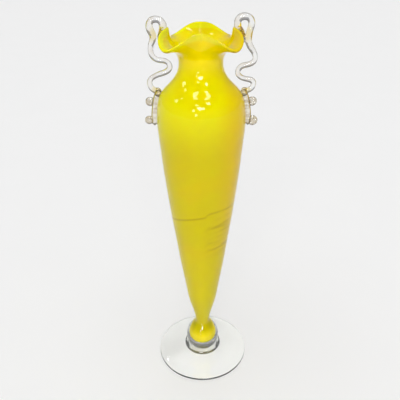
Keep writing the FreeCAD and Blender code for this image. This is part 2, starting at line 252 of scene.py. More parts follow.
@dataclass(frozen=True)
class VaseForm:
    """Sizes of the body in millimetres, and the outlines that every piece on or in it follows.

    Floors and levels are heights above the table: the top of the foot, the knop's seat on the collar, the
    bottom of the yellow bulb in the knop, the narrow stem, the bottom of the cavity, the widest part of the
    body, the seat of threads and trails on the shoulder, the start of the lip, and the lip's middle level.
    """

    foot_level: float = 5.6
    knop_floor: float = 12.5
    bulb_floor: float = 16.92
    stem_level: float = 46.5
    cavity_floor: float = 56.0
    shoulder_level: float = 298.0
    seat_level: float = 322.645
    neck_level: float = 351.0
    lip_level: float = 373.9
    loop_rise: float = 10.2
    stem_radius: float = 8.1
    body_radius: float = 41.9
    neck_radius: float = 20.0
    lip_radius: float = 38.8
    ruffles: int = 4
    ruffle_rise: float = 6.2
    ruffle_reach: float = 7.3
    ruffle_pinch: Pair = (0.12, 0.18)
    ruffle_lean: float = 0.11
    back_droop: float = 2.2
    neck_share: float = 0.48
    flare_out: Pair = (0.59, 0.09)
    flare_up: Pair = (0.58, 0.08)
    knop_radius: float = 18.9
    knop_seat_radius: float = 15.5
    bulb_radius: float = 10.4
    casing_wall: float = 1.3
    lining_wall: float = 1.8
    knop_shares: tuple[Pair, ...] = (
        (0.91, 0.12), (1.0, 0.30), (0.945, 0.47), (0.76, 0.64), (0.43, 0.80), (0.14, 0.91), (0.0, 1.0))
    belly_shares: tuple[Pair, ...] = (
        (0.18, 0.114), (0.33, 0.232), (0.46, 0.344), (0.565, 0.451), (0.67, 0.553), (0.76, 0.65),
        (0.84, 0.742), (0.905, 0.83), (0.96, 0.915), (1.0, 1.0))
    shoulder_shares: tuple[Pair, ...] = (
        (0.95, 0.26), (0.86, 0.41), (0.70, 0.52), (0.44, 0.63), (0.23, 0.73), (0.075, 0.84), (0.0, 1.0))
    bulb_shares: tuple[Pair, ...] = (
        (0.52, 0.03), (0.88, 0.11), (1.0, 0.24), (0.94, 0.38), (0.78, 0.52), (0.66, 0.68), (0.63, 0.84))

    @property
    def wall(self) -> float:
        """Whole wall, casing and lining together."""
        return self.casing_wall + self.lining_wall

    @property
    def meeting_turn(self) -> float:
        """Turn over the lip's rounded edge, in radians, at which casing and lining meet."""
        return math.acos(1 - 2 * self.casing_wall / self.wall)

    def knop(self) -> SmoothOutline:
        """Outer outline of the knop, from its seat up to the stem."""
        pairs = [(self.knop_seat_radius, self.knop_floor)]
        pairs += spread(self.knop_shares, (self.stem_radius, self.knop_radius),
                        (self.knop_floor, self.stem_level))
        return SmoothOutline(pairs, (1, 1), (0, 1))

    def body(self) -> SmoothOutline:
        """Outer outline of the body, from the stem up to the neck."""
        pairs = [(self.stem_radius, self.stem_level)]
        pairs += spread(self.belly_shares, (self.stem_radius, self.body_radius),
                        (self.stem_level, self.shoulder_level))
        pairs += spread(self.shoulder_shares, (self.neck_radius, self.body_radius),
                        (self.shoulder_level, self.neck_level))
        return SmoothOutline(pairs, (0, 1), (0, 1))

    def bulb(self, inset: float = 0.0) -> SmoothOutline:
        """Outline of the yellow bulb from its bottom up to the stem, at a depth inside its surface."""
        pairs = [(0.0, self.bulb_floor + inset)]
        pairs += spread(self.bulb_shares, (-inset, self.bulb_radius - inset),
                        (self.bulb_floor, self.stem_level))
        pairs.append((self.stem_radius - self.casing_wall - inset, self.stem_level))
        return SmoothOutline(pairs, (1, 0), (0, 1))

    def body_place(self, height: float, depth: float) -> Array:
        """(radius, height) at a depth inside the body's outer surface, square to it at a height."""
        places = self.body().places(2400)
        moved = sideways(places, depth)
        return moved[int(np.argmin(abs(places[:, 1] - height)))]

    def lip_guides(self, angles: Array) -> Array:
        """Four guide points of the lip's outer meridian at each angle.

        Args:
            angles: angles round the axis, in radians.

        Returns:
            An array of guide, angle and (radius, height).
        """
        leaned = self.ruffles * (angles - self.ruffle_lean * np.sin(2 * angles))
        swing, double, level = np.cos(leaned), np.cos(2 * leaned), np.ones_like(angles)
        out = self.flare_out[0] - self.flare_out[1] * swing
        up = self.flare_up[0] - self.flare_up[1] * swing
        edge_out = self.ruffle_reach * (swing + self.ruffle_pinch[0] * double)
        edge_up = self.ruffle_rise * (swing - self.ruffle_pinch[1] * double)
        droop = self.back_droop * (1 - swing) / 2 * (1 + np.sin(angles)) / 2
        guides = [
            (self.neck_radius * level, self.neck_level * level),
            (self.neck_radius * level, between(self.neck_level, self.lip_level, self.neck_share) * level),
            (between(self.neck_radius, self.lip_radius, out), between(self.neck_level, self.lip_level, up)),
            (self.lip_radius - edge_out, self.lip_level + edge_up - droop),
        ]
        return np.array([np.stack(guide, 1) for guide in guides])

    def lip_places(self, angles: Array, share: float, depth: float, over: float = 0.0) -> Array:
        """(radius, height) on the lip at a share of the way up it.

        Args:
            angles: angles round the axis, in radians.
            share: share of the way from the neck to the edge.
            depth: how far inside the outer surface.
            over: how far past the meridian's end.

        Returns:
            One row for each angle.
        """
        first, second, third, last = self.lip_guides(angles)
        back = 1 - share
        place = back**3 * first + 3 * back**2 * share * second + 3 * back * share**2 * third + share**3 * last
        along = unit(back**2 * (second - first) + 2 * back * share * (third - second)
                     + share**2 * (last - third))
        return place + depth * inward(along) + over * along

    def lip_ring(self, share: float, depth: float, over: float = 0.0) -> Array:
        """Ring of points round the lip, at a share of the way up it and a depth inside its outer surface."""
        radius, height = self.lip_places(spokes(), share, depth, over).T
        return np.column_stack([radius * np.cos(spokes()), radius * np.sin(spokes()), height])

    def bead_ring(self, turn: float) -> Array:
        """Ring of points on the lip's rounded edge, at a turn in radians over from its outer side."""
        half = 0.5 * self.wall
        return self.lip_ring(1.0, half * (1 - math.cos(turn)), half * math.sin(turn))


FORM = VaseForm()


class Wiring:
    """Adds shader nodes to one node tree and joins them.

    Args:
        tree: the tree to work in.
    """

    def __init__(self, tree: Tree) -> None:
        """Keeps the tree."""
        self.tree = tree

    def node(self, kind: str, inputs: dict[str | int, object] | None = None,
             **settings: object) -> bpy.types.Node:
        """New node of a kind.

        Args:
            kind: Blender's name for the node type, without a leading ShaderNode.
            inputs: a socket or a plain value for each named or numbered input.
            **settings: the node's own properties.

        Returns:
            The node.
        """
        made = self.tree.nodes.new(kind if kind.startswith("Node") else "ShaderNode" + kind)
        for key, value in settings.items():
            setattr(made, key, value)
        for key, value in (inputs or {}).items():
            self.feed(made.inputs[key], value)
        return made

    def feed(self, socket: Socket, value: object) -> None:
        """Joins a socket to an input, or sets the input to a plain value."""
        if isinstance(value, bpy.types.NodeSocket):
            self.tree.links.new(value, socket)
        else:
            socket.default_value = value

    def maths(self, operation: str, *values: object) -> Socket:
        """Result of one sum on one, two or three values."""
        return self.node("Math", dict(enumerate(values)), operation=operation).outputs[0]

    def step(self, value: object, low: float, high: float, start: float = 0.0, end: float = 1.0) -> Socket:
        """Value that goes smoothly from start to end as another goes from low to high."""
        inputs = {0: value, 1: low, 2: high, 3: start, 4: end}
        return self.node("MapRange", inputs, interpolation_type="SMOOTHSTEP").outputs[0]

    def blend(self, share: object, first: object, second: object) -> Socket:
        """Colour mixed from two colours."""
        return self.node("Mix", {0: share, 6: first, 7: second}, data_type="RGBA").outputs[2]

    def noise(self, places: Socket, scale: float, detail: float = 2.0, twist: float = 0.0) -> Socket:
        """Noise of a scale in lumps per metre at the given places."""
        inputs = {"Vector": places, "Scale": scale, "Detail": detail, "Distortion": twist}
        return self.node("TexNoise", inputs).outputs[0]

    def place(self) -> Socket:
        """The surface's own place in the object, in metres."""
        return self.node("TexCoord").outputs["Object"]


def new_group(name: str, output: str, **inputs: float) -> tuple[Tree, Wiring, Sequence[Socket]]:
    """Empty shader node group with named number sockets.

    Args:
        name: the group's name.
        output: its one output.
        **inputs: its inputs and their usual values.

    Returns:
        The group's tree, the wiring for it and the sockets that bring in its inputs.
    """
    tree = bpy.data.node_groups.new(name, "ShaderNodeTree")
    for key, value in inputs.items():
        tree.interface.new_socket(key, in_out="INPUT", socket_type="NodeSocketFloat").default_value = value
    tree.interface.new_socket(output, in_out="OUTPUT", socket_type="NodeSocketFloat")
    wires = Wiring(tree)
    return tree, wires, wires.node("NodeGroupInput").outputs


def ripple_group() -> Tree:
    """Group that gives the height of the slow waves that hand work leaves in glass.

    Returns:
        A group with Lumps and Fine inputs and a Height output.
    """
    tree, wires, taken = new_group("hand_worked_ripple", "Height", Lumps=60.0, Fine=0.2)
    slow = wires.noise(wires.place(), taken["Lumps"], 1.0, 0.6)
    quick = wires.noise(wires.place(), wires.maths("MULTIPLY", taken["Lumps"], 4.0), 2.0)
    wires.node("NodeGroupOutput", {"Height": wires.maths("MULTIPLY_ADD", quick, taken["Fine"], slow)})
    return tree


def wear_group() -> Tree:
    """Group that gives the roughness of polished glass with faint smears and rubbed places.

    Returns:
        A group with Clean and Smeared inputs and a Roughness output.
    """
    tree, wires, taken = new_group("rubbed_polish", "Roughness", Clean=0.01, Smeared=0.08)
    smears = wires.step(wires.noise(wires.place(), 38.0, 4.0, 1.2), 0.52, 0.75)
    more = wires.maths("SUBTRACT", taken["Smeared"], taken["Clean"])
    wires.node("NodeGroupOutput", {"Roughness": wires.maths("MULTIPLY_ADD", smears, more, taken["Clean"])})
    return tree


def cloud_group() -> Tree:
    """Group that gives a mask of the beige clouds where clear glass was pinched or touched down.

    Returns:
        A group with Grain, Low and High inputs and a Mask output.
    """
    tree, wires, taken = new_group("pinched_cloud", "Mask", Grain=300.0, Low=0.45, High=0.6)
    lumps = wires.noise(wires.place(), taken["Grain"], 3.0, 0.8)
    wires.node("NodeGroupOutput", {"Mask": wires.step(lumps, taken["Low"], taken["High"])})
    return tree


@dataclass(frozen=True)
class GlassEffects:
    """Node groups that more than one finish uses."""

    ripple: Tree
    wear: Tree
    cloud: Tree

    def use(self, wires: Wiring, tree: Tree, **values: float) -> Socket:
        """Places one group in a material.

        Args:
            wires: the material's wiring.
            tree: the group.
            **values: the group's own inputs for this material.

        Returns:
            The group's one output.
        """
        made = wires.node("Group", node_tree=tree)
        for key, value in values.items():
            made.inputs[key].default_value = value
        return made.outputs[0]


def new_material(name: str) -> tuple[Material, Wiring]:
    """Empty node material and the wiring for it."""
    material = bpy.data.materials.new(name)
    material.use_nodes = True
    material.node_tree.nodes.clear()
    return material, Wiring(material.node_tree)


@dataclass(frozen=True)
class GlassFinish:
    """What all the finishes of glass share: a polish with faint smears and the ripple of hand work."""

    effects: GlassEffects
    name: str
    index: float = 1.5
    clean: float = 0.0
    smeared: float = 0.05
    lumps: float = 60.0
    fine: float = 0.2
    ripple_depth: float = 0.0012
    ripple_strength: float = 0.35

    def worked(self, wires: Wiring) -> dict[str, object]:
        """Shader inputs of the worked surface.

        Args:
            wires: the material's wiring.

        Returns:
            Roughness, index and normal by the names of their inputs.
        """
        rough = self.effects.use(wires, self.effects.wear, Clean=self.clean, Smeared=self.smeared)
        ripple = self.effects.use(wires, self.effects.ripple, Lumps=self.lumps, Fine=self.fine)
        bump = wires.node("Bump", {
            "Height": ripple, "Strength": self.ripple_strength, "Distance": self.ripple_depth})
        return {"Roughness": rough, "IOR": self.index, "Normal": bump.outputs[0]}


@dataclass(frozen=True)
class YellowGlass(GlassFinish):
    """Finish of the opaque lining: saturated yellow, warmer in places, tooling streaks low down, and painted
    light.
    """

    clean: float = 0.05
    smeared: float = 0.14
    lumps: float = 45.0
    fine: float = 0.1
    ripple_strength: float = 0.25
    gloss: float = 0.0
    scatter_share: float = 0.4
    scatter_reach: float = 0.003
    scatter_colours: Triple = (1.0, 0.75, 0.05)
    # Painted light: the lining is paler high up, where the shoulder faces the light, and darker low down.
    high: Colour = (0.91, 0.85, 0.0, 1.0)
    low: Colour = (0.71, 0.60, 0.0, 1.0)
    warm: Colour = (0.86, 0.57, 0.0, 1.0)
    streak: Colour = (0.44, 0.30, 0.0, 1.0)
    # Painted light: a brighter, warmer colour over neck and lip, standing in for the light that reaches under
    # the lip.
    lip: Colour = (1.0, 0.80, 0.0, 1.0)
    painted_light_levels: Pair = (0.268, 0.335)
    painted_lip_light_levels: Pair = (0.325, 0.356)
    painted_bulb_light_levels: Pair = (0.026, 0.036)
    warm_grain: float = 14.0
    warm_spots: Pair = (0.50, 0.80)
    warm_side: Pair = (0.008, 0.038)
    ring_height: float = 0.1987
    ring_edges: Pair = (0.0003, 0.0016)
    ring_share: float = 0.62
    gap_grain: float = 30.0
    gap_edges: Pair = (0.36, 0.48)
    gap_share: float = 0.55
    waver: float = 0.003
    waver_grain: float = 40.0
    tilt: float = 0.20
    lean: float = 0.26
    break_height: float = 0.0035
    break_places: Pair = (0.0035, 0.0065)
    mark_grain: Pair = (60.0, 480.0)
    mark_seed: float = 2.3
    mark_edges: Pair = (0.50, 0.62)
    mark_levels: Pair = (0.150, 0.166)
    mark_fade: Pair = (0.012, 0.001)
    mark_side: Pair = (0.0, 0.010)
    mark_shares: Pair = (0.05, 0.5)

    def material(self) -> Material:
        """Builds the material."""
        material, wires = new_material(self.name)
        place = wires.place()
        parts = wires.node("SeparateXYZ", {0: place})
        across, height = parts.outputs[0], parts.outputs[2]
        # Painted light: paler towards the shoulder, darker low down.
        colour = wires.blend(wires.step(height, *self.painted_light_levels), self.low, self.high)
        # Painted light: neck and lip are made brighter and warmer.
        colour = wires.blend(wires.step(height, *self.painted_lip_light_levels), colour, self.lip)
        # Painted light: the yellow bulb in the knop takes the brighter lip colour.
        colour = wires.blend(wires.step(height, *self.painted_bulb_light_levels, 1.0, 0.0), colour, self.lip)
        slow = wires.noise(place, self.warm_grain, 2.0, 0.5)
        colour = wires.blend(wires.step(slow, *self.warm_spots, 0.0, 0.5), colour, self.warm)
        colour = wires.blend(wires.step(across, *self.warm_side, 0.0, 0.8), colour, self.warm)
        colour = wires.blend(self.streaks(wires, place, parts), colour, self.streak)
        shader = wires.node("BsdfPrincipled", {
            "Base Color": colour, "Specular IOR Level": self.gloss, "Subsurface Weight": self.scatter_share,
            "Subsurface Radius": self.scatter_colours, "Subsurface Scale": self.scatter_reach,
            **self.worked(wires)})
        wires.node("OutputMaterial", {"Surface": shader.outputs[0]})
        return material

    def streaks(self, wires: Wiring, place: Socket, parts: bpy.types.Node) -> Socket:
        """Mask of the thin tilted ring and the curved marks that tools left low on the body.

        Args:
            wires: the material's wiring.
            place: the surface's place.
            parts: the same place taken apart into X, Y and Z.

        Returns:
            A mask from 0 to 1.
        """
        across, height = parts.outputs[0], parts.outputs[2]
        slope = wires.maths("ADD", wires.maths("MULTIPLY", across, -self.tilt),
                            wires.maths("MULTIPLY", parts.outputs[1], self.lean))
        broken = wires.step(across, *self.break_places, 0.0, -self.break_height)
        level = wires.maths("ADD", wires.maths("ADD", height, slope), broken)
        waver = wires.maths("MULTIPLY", wires.noise(place, self.waver_grain, 1.0), self.waver)
        away = wires.maths("SUBTRACT", wires.maths("ADD", level, waver), self.ring_height + 0.5 * self.waver)
        ring = wires.step(wires.maths("ABSOLUTE", away), *self.ring_edges, self.ring_share, 0.0)
        gaps = wires.step(wires.noise(place, self.gap_grain), *self.gap_edges, self.gap_share, 1.0)
        ring = wires.maths("MULTIPLY", ring, gaps)
        bent = wires.node("CombineXYZ", {
            0: wires.maths("MULTIPLY", across, self.mark_grain[0]), 1: self.mark_seed,
            2: wires.maths("MULTIPLY", level, self.mark_grain[1])})
        marks = wires.step(wires.noise(bent.outputs[0], 1.0, 1.0, 0.4), *self.mark_edges)
        marks = wires.maths("MULTIPLY", marks, wires.step(across, *self.mark_side, *self.mark_shares))
        low = wires.step(height, *self.mark_levels)
        fade = [self.ring_height - depth for depth in self.mark_fade]
        below = wires.step(level, *fade, 1.0, 0.0)
        marks = wires.maths("MULTIPLY", marks, wires.maths("MULTIPLY", low, below))
        return wires.maths("MAXIMUM", ring, marks)


@dataclass(frozen=True)
class ClearGlass(GlassFinish):
    """Finish of a clear piece: polished glass with hand-worked waves, where asked beige clouds, and painted
    shade on the sides that turn away.
    """

    tint: Colour = (0.985, 0.99, 0.975, 1.0)
    cloud: Colour = (0.82, 0.72, 0.55, 1.0)
    cloud_share: float = 0.0
    cloud_grain: float = 300.0
    cloud_start: float = 0.5
    cloud_span: float = 0.14
    shade: float = 0.9
    # Painted shade: the sides that turn away from the view take this darker colour, in place of a dark room
    # mirrored in them.
    edge: Colour = (0.62, 0.60, 0.55, 1.0)
    painted_edge_shade_share: float = 0.0
    painted_edge_shade_start: float = 0.18
    painted_edge_shade_span: float = 0.5
    stain: Colour = (0.93, 0.82, 0.50, 1.0)
    stain_places: tuple[Triple, ...] = ()
    stain_grain: float = 190.0
    stain_waver: float = 0.5
    stain_edges: Pair = (0.6, 1.3)

    def material(self) -> Material:
        """Builds the material. Lamps reach what lies behind the glass through a plain see-through shader."""
        material, wires = new_material(self.name)
        mask = self.effects.use(wires, self.effects.cloud, Grain=self.cloud_grain, Low=self.cloud_start,
                                High=self.cloud_start + self.cloud_span)
        colour = wires.blend(wires.maths("MULTIPLY", mask, self.cloud_share), self.tint, self.cloud)
        # Painted shade on the sides that turn away from the view.
        edge_shade_mask = wires.node("LayerWeight", {"Blend": 0.5}).outputs["Facing"]
        edge_shade_mask = wires.step(edge_shade_mask, self.painted_edge_shade_start, self.painted_edge_shade_start + self.painted_edge_shade_span, 0.0,
                                 self.painted_edge_shade_share)
        colour = wires.blend(edge_shade_mask, colour, self.edge)
        if self.stain_places:
            colour = wires.blend(self.stains(wires), colour, self.stain)
        shader = wires.node("BsdfPrincipled", {"Base Color": colour, **self.worked(wires)})
        shader.inputs["Transmission Weight"].default_value = 1.0
        veil = wires.node("BsdfTransparent", {"Color": grey(self.shade)})
        path = wires.node("LightPath")
        mixed = wires.node("MixShader", {
            0: path.outputs["Is Shadow Ray"], 1: shader.outputs[0], 2: veil.outputs[0]})
        wires.node("OutputMaterial", {"Surface": mixed.outputs[0]})
        return material

    def stains(self, wires: Wiring) -> Socket:
        """Mask of the places, the same on both sides, where the hot glass took up colour from the lining."""
        parts = wires.node("SeparateXYZ", {0: wires.place()})
        folded = wires.node("CombineXYZ", {
            0: wires.maths("ABSOLUTE", parts.outputs[0]), 1: 0.0, 2: parts.outputs[2]}).outputs[0]
        uneven = wires.noise(wires.place(), self.stain_grain, 2.0, 0.5)
        start, end = self.stain_edges
        whole: Socket | float = 0.0
        for out, height, size in self.stain_places:
            away = wires.node("VectorMath", {0: folded, 1: (out, 0.0, height)}, operation="DISTANCE")
            waver = wires.maths("MULTIPLY", uneven, self.stain_waver * size)
            away = wires.maths("ADD", away.outputs["Value"], waver)
            whole = wires.maths("MAXIMUM", whole, wires.step(away, start * size, end * size, 1.0, 0.0))
        return whole


@dataclass(frozen=True)
class PaleFloor:
    """Finish of the floor: plain pale matt board with a barely seen grain."""

    light: Colour = grey(0.87)
    dark: Colour = grey(0.855)
    roughness: float = 0.85
    gloss: float = 0.2
    glow: float = 0.055

    def material(self) -> Material:
        """Builds the material. To the camera, in gloss and through glass, the board shows a little paler."""
        material, wires = new_material("pale_floor_board")
        grain = wires.noise(wires.place(), 9.0, 3.0)
        path = wires.node("LightPath")
        shown = wires.maths("MAXIMUM", path.outputs["Is Glossy Ray"], path.outputs["Is Transmission Ray"])
        shown = wires.maths("MAXIMUM", shown, path.outputs["Is Camera Ray"])
        shown = wires.maths("MULTIPLY", shown, wires.maths("LESS_THAN", path.outputs["Diffuse Depth"], 0.5))
        shader = wires.node("BsdfPrincipled", {
            "Base Color": wires.blend(grain, self.light, self.dark), "Roughness": self.roughness,
            "Specular IOR Level": self.gloss, "Emission Color": grey(1.0),
            "Emission Strength": wires.maths("MULTIPLY", shown, self.glow)})
        wires.node("OutputMaterial", {"Surface": shader.outputs[0]})
        return material


def settle(piece: Piece, node: str, slot: Slot, *materials: Material) -> None:
    """Puts a finished piece on the frame in place of its CAD node.

    Args:
        piece: the piece.
        node: the CAD node that it stands for.
        slot: the record's slot that it takes its finish from.
        *materials: its materials.
    """
    for material in materials:
        piece.data.materials.append(material)
    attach(piece, BODY)
    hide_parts(node)
    LOG.info("%s: %d faces, %s", piece.name, len(piece.data.polygons), slot.value)


def zone(piece: Piece, material: int, first: int, end: int | None = None) -> None:
    """Gives the faces from the first up to the end one of the piece's materials, by its number."""
    for face in piece.data.polygons[first:end]:
        face.material_index = material


class GlassPiece(ABC):
    """One piece of the vase, which builds its own mesh and stands for one node of the CAD."""

    node: str
    slot: Slot

    @abstractmethod
    def build(self) -> Piece:
        """Builds the piece's mesh."""

    def dress(self, *materials: Material) -> Piece:
        """Builds the piece and settles it on the frame.

        Args:
            *materials: its finishes, in the order in which its faces count them.

        Returns:
            The piece.
        """
        piece = self.build()
        settle(piece, self.node, self.slot, *materials)
        return piece


@dataclass(frozen=True)
class YellowLining(GlassPiece):
    """Opaque inner layer, from the bulb in the knop up the body, over the lip's edge and down the cavity.

    It takes three finishes: its outer side, which the casing covers, the lip's bare edge with a painted
    highlight band, and its open inside.
    """

    node: str = "yellow_lining"
    slot: Slot = Slot.LINING
    form: VaseForm = FORM
    body_rows: int = 150
    lip_rows: int = 22
    bead_rows: int = 7
    floor_bow: float = 0.28

    def build(self) -> Piece:
        """Builds the lining's mesh."""
        form = self.form
        body = form.body().places(self.body_rows)
        outer = sideways(body, form.casing_wall)
        inner = sideways(body, form.wall)
        cavity = inner[inner[:, 1] > form.cavity_floor + self.floor_bow * form.body_radius]
        floor = SmoothOutline([(0.0, form.cavity_floor), cavity[0]], (1, 0), cavity[1] - cavity[0]).places(18)
        shares = np.linspace(0.0, 1.0, self.lip_rows)
        rings = turned(form.bulb().places(36)[:-1]) + turned(outer[:-1])
        rings += [form.lip_ring(share, form.casing_wall) for share in shares]
        cased = (len(rings) - 3) * AROUND
        rings += [form.bead_ring(turn) for turn in np.linspace(form.meeting_turn, math.pi, self.bead_rows)]
        bead = (len(rings) + 1) * AROUND
        rings += [form.lip_ring(share, form.wall) for share in shares[-2::-1]]
        rings += turned(cavity[-2::-1]) + turned(floor[-2::-1])
        piece = skin("yellow_lining_glass", rings)
        # The faces round the lip's edge take a paler finish: a painted highlight band along the rim.
        zone(piece, 1, cased, bead)
        zone(piece, 2, bead)
        return piece


@dataclass(frozen=True)
class ClearCasing(GlassPiece):
    """Clear outer layer with its solid knop. Its inner side lies just inside the lining, as in fused glass.

    It takes two finishes: the thick knop, and the layer over the lining, too thin to bend light much.
    """

    node: str = "clear_casing"
    slot: Slot = Slot.CASING
    form: VaseForm = FORM
    body_rows: int = 150
    lip_rows: int = 22
    sink: float = 0.3
    fused: float = 0.25

    def build(self) -> Piece:
        """Builds the casing's mesh."""
        form = self.form
        body = form.body().places(self.body_rows)
        depth = form.casing_wall + self.fused
        shares = np.linspace(0.0, 1.0, self.lip_rows)
        seat = form.knop_floor - self.sink
        rings = turned([(0.0, seat), (form.knop_seat_radius, seat)])
        rings += turned(form.knop().places(46)[:-1])
        thick = len(rings) * AROUND
        rings += turned(body[:-1])
        rings += [form.lip_ring(share, 0.0) for share in shares]
        rings += [form.bead_ring(turn) for turn in np.linspace(0.0, form.meeting_turn, 6)[1:]]
        rings += [form.lip_ring(share, depth) for share in shares[::-1]]
        rings += turned(sideways(body, depth)[-2::-1])
        thin = len(rings) * AROUND
        rings += turned(form.bulb(self.fused).places(36)[-2::-1])
        piece = skin("clear_casing_glass", rings, 50.0)
        zone(piece, 1, thick, thin)
        return piece


@dataclass(frozen=True)
class DiscFoot(GlassPiece):
    """Clear disc foot with a rounded edge, a slope up to its seat and a shallow hollow beneath."""

    node: str = "foot"
    slot: Slot = Slot.FOOT
    form: VaseForm = FORM
    radius: float = 52.4
    edge: float = 2.4
    hollow: float = 1.2
    rim_share: float = 0.984
    rest_share: float = 0.84
    slope_shares: Pair = (0.68, 0.30)
    seat_share: float = 0.36

    def build(self) -> Piece:
        """Builds the foot's mesh."""
        top = self.form.foot_level
        rest = self.radius * self.rest_share
        seat = self.radius * self.seat_share
        rim = self.rim_share * self.radius
        under = SmoothOutline([(0.0, self.hollow), (0.5 * rest, 0.75 * self.hollow), (rest, 0.0)],
                              (1, 0), (1, -0.06))
        bend = (self.slope_shares[0] * self.radius, between(self.edge, top, self.slope_shares[1]))
        turn = np.linspace(-0.5 * math.pi, 0.5 * math.pi, 13)
        edge = np.stack([rim + (self.radius - rim) * np.cos(turn), 0.5 * self.edge * (1 + np.sin(turn))], 1)
        slope = SmoothOutline([(rim, self.edge), bend, (seat, top)], (-1, 0.02), (-1, 0.22))
        rings = turned(under.places(20)) + turned(edge) + turned(slope.places(26)[1:]) + turned([(0.0, top)])
        return skin("disc_foot_glass", rings, 60.0)


@dataclass(frozen=True)
class StemCollar(GlassPiece):
    """Rounded clear collar between the foot and the knop."""

    node: str = "stem_collar"
    slot: Slot = Slot.FOOT
    form: VaseForm = FORM
    radius: float = 21.3
    seat_share: float = 0.80
    sink: float = 0.3
    shares: tuple[Pair, ...] = ((0.93, 0.24), (1.0, 0.58), (0.94, 0.86))

    def build(self) -> Piece:
        """Builds the collar's mesh."""
        low, high = self.form.foot_level, self.form.knop_floor
        seat = self.seat_share * self.radius
        pairs = [(seat, low), *spread(self.shares, (0.0, self.radius), (low, high)),
                 (self.form.knop_seat_radius, high)]
        side = SmoothOutline(pairs, (1, 1), (-1, 1)).places(30)
        rings = turned([(0.0, low - self.sink), (seat, low - self.sink), *side, (0.0, high)])
        return skin("stem_collar_glass", rings, 60.0)


def tube_rings(path: Array, radii: Array, around: int = 24) -> Rings:
    """Rings of points along a path, with rounded ends.

    Args:
        path: points along the middle of the tube, in millimetres.
        radii: the tube's radius at each of them.
        around: points in a ring.

    Returns:
        The rings, with a pole at each end.
    """
    along = unit(np.gradient(path, axis=0))
    angles = spokes(around)
    rings = [np.repeat((path[0] - radii[0] * along[0])[None], around, axis=0)]
    for middle, radius, way in zip(path, radii, along):
        back = np.array([0.0, 1.0, 0.0]) - way[1] * way
        back /= np.linalg.norm(back)
        side = np.cross(back, way)
        rings.append(middle + radius * (np.outer(np.cos(angles), side) + np.outer(np.sin(angles), back)))
    rings.append(np.repeat((path[-1] + radii[-1] * along[-1])[None], around, axis=0))
    return rings


def drop_rings(middle: Array, widths: Sequence[float], around: int = 28, rows: int = 17) -> Rings:
    """Rings of points on a rounded drop of glass.

    Args:
        middle: the drop's middle, in millimetres.
        widths: its half sizes along X, Y and Z.
        around: points in a ring.
        rows: rings from pole to pole.

    Returns:
        The rings, from the bottom to the top.
    """
    angles = spokes(around)
    rings = []
    for lean in np.linspace(-0.5 * math.pi, 0.5 * math.pi, rows):
        circle = np.column_stack([np.cos(lean) * np.cos(angles), np.cos(lean) * np.sin(angles),
                                  np.full(around, math.sin(lean))])
        rings.append(middle + circle * np.array(widths))
    return rings


def fused(name: str, lumps: Sequence[Rings], grain: float, passes: int) -> Piece:
    """One piece of glass melted together from closed lumps, with soft joins.

    Args:
        name: the object's name.
        lumps: the rings of each lump.
        grain: size of the mesh's squares, in millimetres.
        passes: how many times the joins are smoothed.

    Returns:
        The new object.
    """
    parts = [skin(f"{name}_{index}", rings) for index, rings in enumerate(lumps)]
    vertices: list[tuple[float, ...]] = []
    faces: list[list[int]] = []
    for part in parts:
        first = len(vertices)
        vertices += [tuple(point.co / METRE) for point in part.data.vertices]
        faces += [[first + corner for corner in face.vertices] for face in part.data.polygons]
        bpy.data.objects.remove(part)
    rough = new_mesh(name + "_rough", np.array(vertices), faces)
    melt = rough.modifiers.new("melt", "REMESH")
    melt.mode = "VOXEL"
    melt.voxel_size = grain * METRE
    smooth = rough.modifiers.new("smooth", "SMOOTH")
    smooth.iterations = passes
    smooth.factor = 0.5
    bpy.context.view_layer.update()
    mesh = bpy.data.meshes.new_from_object(rough.evaluated_get(bpy.context.evaluated_depsgraph_get()))
    mesh.name = name
    mesh.polygons.foreach_set("use_smooth", [True] * len(mesh.polygons))
    bpy.data.objects.remove(rough)
    return linked(name, mesh)


def melt_in(piece: Piece, under: Piece, reach: float = 3.0) -> None:
    """Gives a piece's second material to its faces that lie inside the glass that carries it.

    Args:
        piece: the hot-applied piece, with two materials.
        under: the piece of glass that carries it.
        reach: how far from that piece's skin a face is looked at, in millimetres.
    """
    tree = BVHTree.FromPolygons([point.co for point in under.data.vertices],
                                [tuple(face.vertices) for face in under.data.polygons])
    count = 0
    for face in piece.data.polygons:
        place, normal, _, _ = tree.find_nearest(face.center, reach * METRE)
        if place is not None and (face.center - place).dot(normal) < 0.0:
            face.material_index = 1
            count += 1
    LOG.info("%s: %d faces melted in", piece.name, count)


